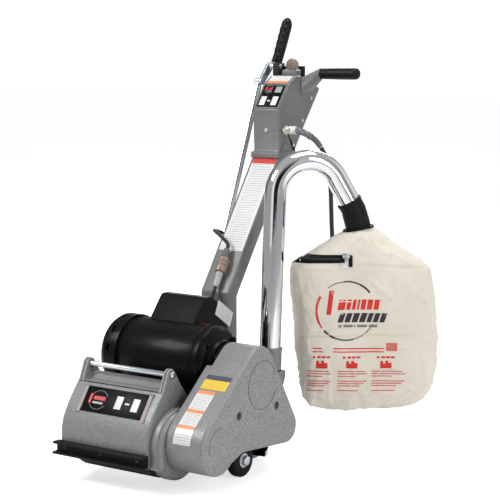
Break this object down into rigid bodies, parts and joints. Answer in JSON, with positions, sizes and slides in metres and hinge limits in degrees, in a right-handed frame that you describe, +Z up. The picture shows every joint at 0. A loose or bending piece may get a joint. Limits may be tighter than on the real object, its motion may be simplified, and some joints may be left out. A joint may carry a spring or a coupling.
{
  "type": "floor drum sander",
  "caption": "Walk-behind floor drum sander: belt-driven abrasive drum in a cast housing, motor on top, chrome dust pipe with cloth bag, and a lever that lowers the drum.",
  "frame": {"origin": "on the floor under the middle of the machine's outline, measured without the power cord and plug", "axes": "+Z up, -Y towards the drum end, +Y towards the operator, +X towards the belt guard"},
  "size_m": [0.5968, 0.843, 1.026],
  "materials": {
    "cast_grey": "hammered silver-grey paint",
    "handle_grey": "fine-textured dark grey paint",
    "motor_black": "gloss black paint",
    "zinc": "bright zinc plate",
    "steel": "machined steel",
    "fan_alloy": "as cast",
    "chrome": "polished chrome",
    "black_rubber": "matt",
    "tyre": "matt",
    "black_plastic": "fine texture",
    "paddle": "satin",
    "abrasive": "coated abrasive cloth",
    "canvas": "woven cotton",
    "zip_tape": "woven tape",
    "gland_brass": "nickel-plated brass",
    "cord_jacket": "satin jacket",
    "connector": "moulded"
  },
  "bodies": {
    "chassis": {"drum_housing": "cast_grey", "left_side_cover": "cast_grey", "cover_screws": "zinc", "side_bearing_housing": "cast_grey", "front_bumper": "black_rubber", "bumper_screws": "zinc", "cross_rod": "zinc", "name_panel": "black_plastic", "belt_guard": "cast_grey", "guard_plate": "motor_black", "case_bolts": "zinc", "motor_frame": "motor_black", "drive_end_bell": "motor_black", "rear_end_bell": "motor_black", "motor_bolts": "zinc", "fan_cover": "motor_black", "capacitor_box": "motor_black", "motor_base": "motor_black", "stator": "steel", "shaft_bearings": "steel", "drive_belt": "black_rubber", "blower_housing": "cast_grey", "suction_duct": "cast_grey", "pipe_collar": "cast_grey", "dust_pipe": "chrome", "bag_cuff": "black_rubber", "dust_bag": "canvas", "zipper_tape": "zip_tape", "handle_tube": "handle_grey", "rear_frame": "handle_grey", "head_casting": "handle_grey", "head_name_plate": "black_plastic", "switch_block": "handle_grey", "grip_arm": "handle_grey", "right_grip": "black_rubber", "lever_block": "black_plastic", "cord_gland": "gland_brass", "power_cord": "cord_jacket", "plug": "black_plastic", "cable_connector": "connector", "control_cable": "cord_jacket"},
    "drum_unit": {"drum": "steel", "sanding_sleeve": "abrasive", "drum_shaft": "steel", "drum_pulley": "steel"},
    "motor_rotor": {"motor_rotor": "steel", "cooling_fan": "black_plastic", "motor_pulley": "steel"},
    "blower_unit": {"blower_wheel": "fan_alloy", "blower_pulley": "steel"},
    "lever": {"lift_lever": "zinc", "lever_grip": "black_rubber"},
    "rod": {"lift_rod": "zinc"},
    "wheel_bracket": {"wheel_bracket": "zinc"},
    "left_wheel": {"left_wheel": "tyre"},
    "right_wheel": {"right_wheel": "tyre"},
    "caster": {"caster_fork": "zinc"},
    "caster_wheel": {"caster_wheel": "tyre"},
    "paddle": {"switch_paddle": "paddle"},
    "slider": {"zipper_slider": "steel"}
  },
  "joints": [
    {"name": "drum_spin", "type": "hinge", "parent": "chassis", "child": "drum_unit", "pos_m": [-0.1254, -0.3085, 0.096], "axis": [1, 0, 0], "continuous": true},
    {"name": "motor_spin", "type": "hinge", "parent": "chassis", "child": "motor_rotor", "pos_m": [-0.1254, -0.1515, 0.249], "axis": [1, 0, 0], "continuous": true},
    {"name": "blower_spin", "type": "hinge", "parent": "chassis", "child": "blower_unit", "pos_m": [-0.0254, -0.0425, 0.098], "axis": [1, 0, 0], "continuous": true},
    {"name": "lever_swing", "type": "hinge", "parent": "chassis", "child": "lever", "pos_m": [-0.1774, 0.3285, 0.905], "axis": [1, 0, 0], "range_deg": [-14, 0]},
    {"name": "rod_swing", "type": "hinge", "parent": "lever", "child": "rod", "pos_m": [-0.1834, 0.2925, 0.868], "axis": [1, 0, 0], "range_deg": [0, 14]},
    {"name": "bracket_swing", "type": "hinge", "parent": "chassis", "child": "wheel_bracket", "pos_m": [-0.1414, -0.0785, 0.095], "axis": [1, 0, 0], "range_deg": [-14, 0]},
    {"name": "left_wheel_spin", "type": "hinge", "parent": "wheel_bracket", "child": "left_wheel", "pos_m": [-0.2774, -0.1555, 0.038], "axis": [1, 0, 0], "continuous": true},
    {"name": "right_wheel_spin", "type": "hinge", "parent": "wheel_bracket", "child": "right_wheel", "pos_m": [0.0666, -0.1555, 0.038], "axis": [1, 0, 0], "continuous": true},
    {"name": "caster_swivel", "type": "hinge", "parent": "chassis", "child": "caster", "pos_m": [-0.1254, 0.0595, 0.09], "axis": [0, 0, 1], "continuous": true},
    {"name": "caster_wheel_spin", "type": "hinge", "parent": "caster", "child": "caster_wheel", "pos_m": [-0.1254, 0.0795, 0.028], "axis": [1, 0, 0], "continuous": true},
    {"name": "paddle_rock", "type": "hinge", "parent": "chassis", "child": "paddle", "pos_m": [-0.1174, 0.3315, 0.891], "axis": [1, 0, 0], "range_deg": [-12, 12]},
    {"name": "zip_slide", "type": "slide", "parent": "chassis", "child": "slider", "axis": [-0.8746, -0.4848, 0], "range_m": [0, 0.065]}
  ],
  "couplings": [
    {"joint": "motor_spin", "follows": "drum_spin", "ratio": 1.4},
    {"joint": "blower_spin", "follows": "drum_spin", "ratio": 2.8},
    {"joint": "rod_swing", "follows": "lever_swing", "ratio": -1},
    {"joint": "bracket_swing", "follows": "lever_swing", "ratio": 1}
  ]
}
